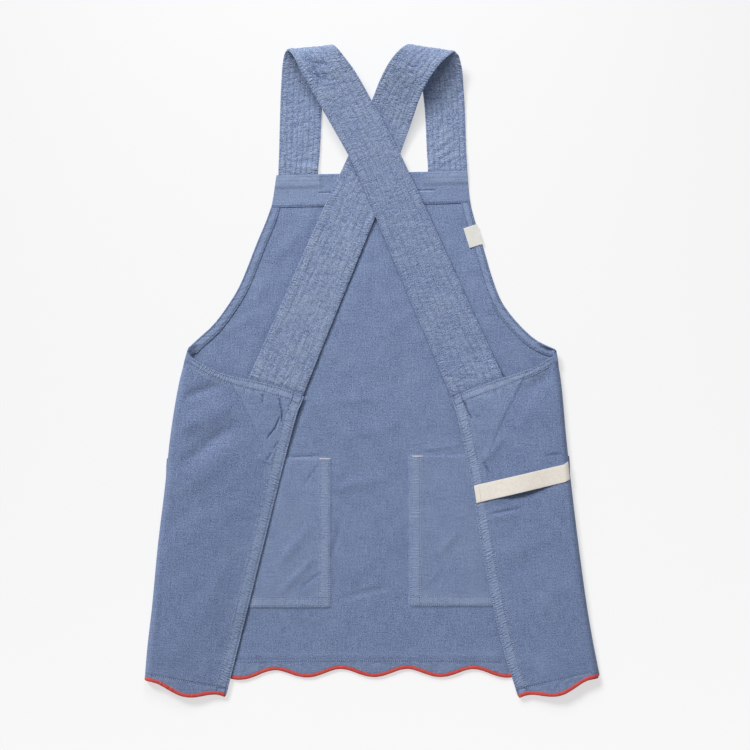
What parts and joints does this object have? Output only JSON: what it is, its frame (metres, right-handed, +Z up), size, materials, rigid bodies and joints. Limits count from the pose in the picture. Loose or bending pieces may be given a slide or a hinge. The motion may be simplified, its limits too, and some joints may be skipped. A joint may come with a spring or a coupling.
{
  "type": "cross-back smock",
  "caption": "Cross-back work smock lying face down: bib and skirt front, folded-in back panels, wide quilted straps, patch pockets, scalloped bound hem and a towel loop.",
  "frame": {"origin": "middle of the footprint, on the surface that the smock lies on", "axes": "+X to the right as seen from above, +Y from the hem to the shoulder straps, +Z up from the surface"},
  "size_m": [0.6368, 0.9153, 0.0355],
  "materials": {
    "washed_cloth": "washed plain-weave cotton and linen, blue",
    "quilted_cloth": "two layers of the washed cloth, stitched in lengthwise rows",
    "bias_binding": "red bias-cut cotton binding",
    "cotton_tape": "ecru twill tape",
    "woven_label": "blank off-white woven label"
  },
  "bodies": {
    "root": {"front_panel": "washed_cloth", "left_back_panel": "washed_cloth", "right_back_panel": "washed_cloth", "left_pocket": "washed_cloth", "right_pocket": "washed_cloth", "left_corner_patch": "washed_cloth", "right_corner_patch": "washed_cloth", "bib_facing": "washed_cloth", "hem_facing": "washed_cloth", "left_armhole_facing": "washed_cloth", "right_armhole_facing": "washed_cloth", "left_strap": "quilted_cloth", "right_strap": "quilted_cloth", "hem_binding": "bias_binding", "towel_loop": "cotton_tape", "side_label": "woven_label"}
  },
  "joints": []
}
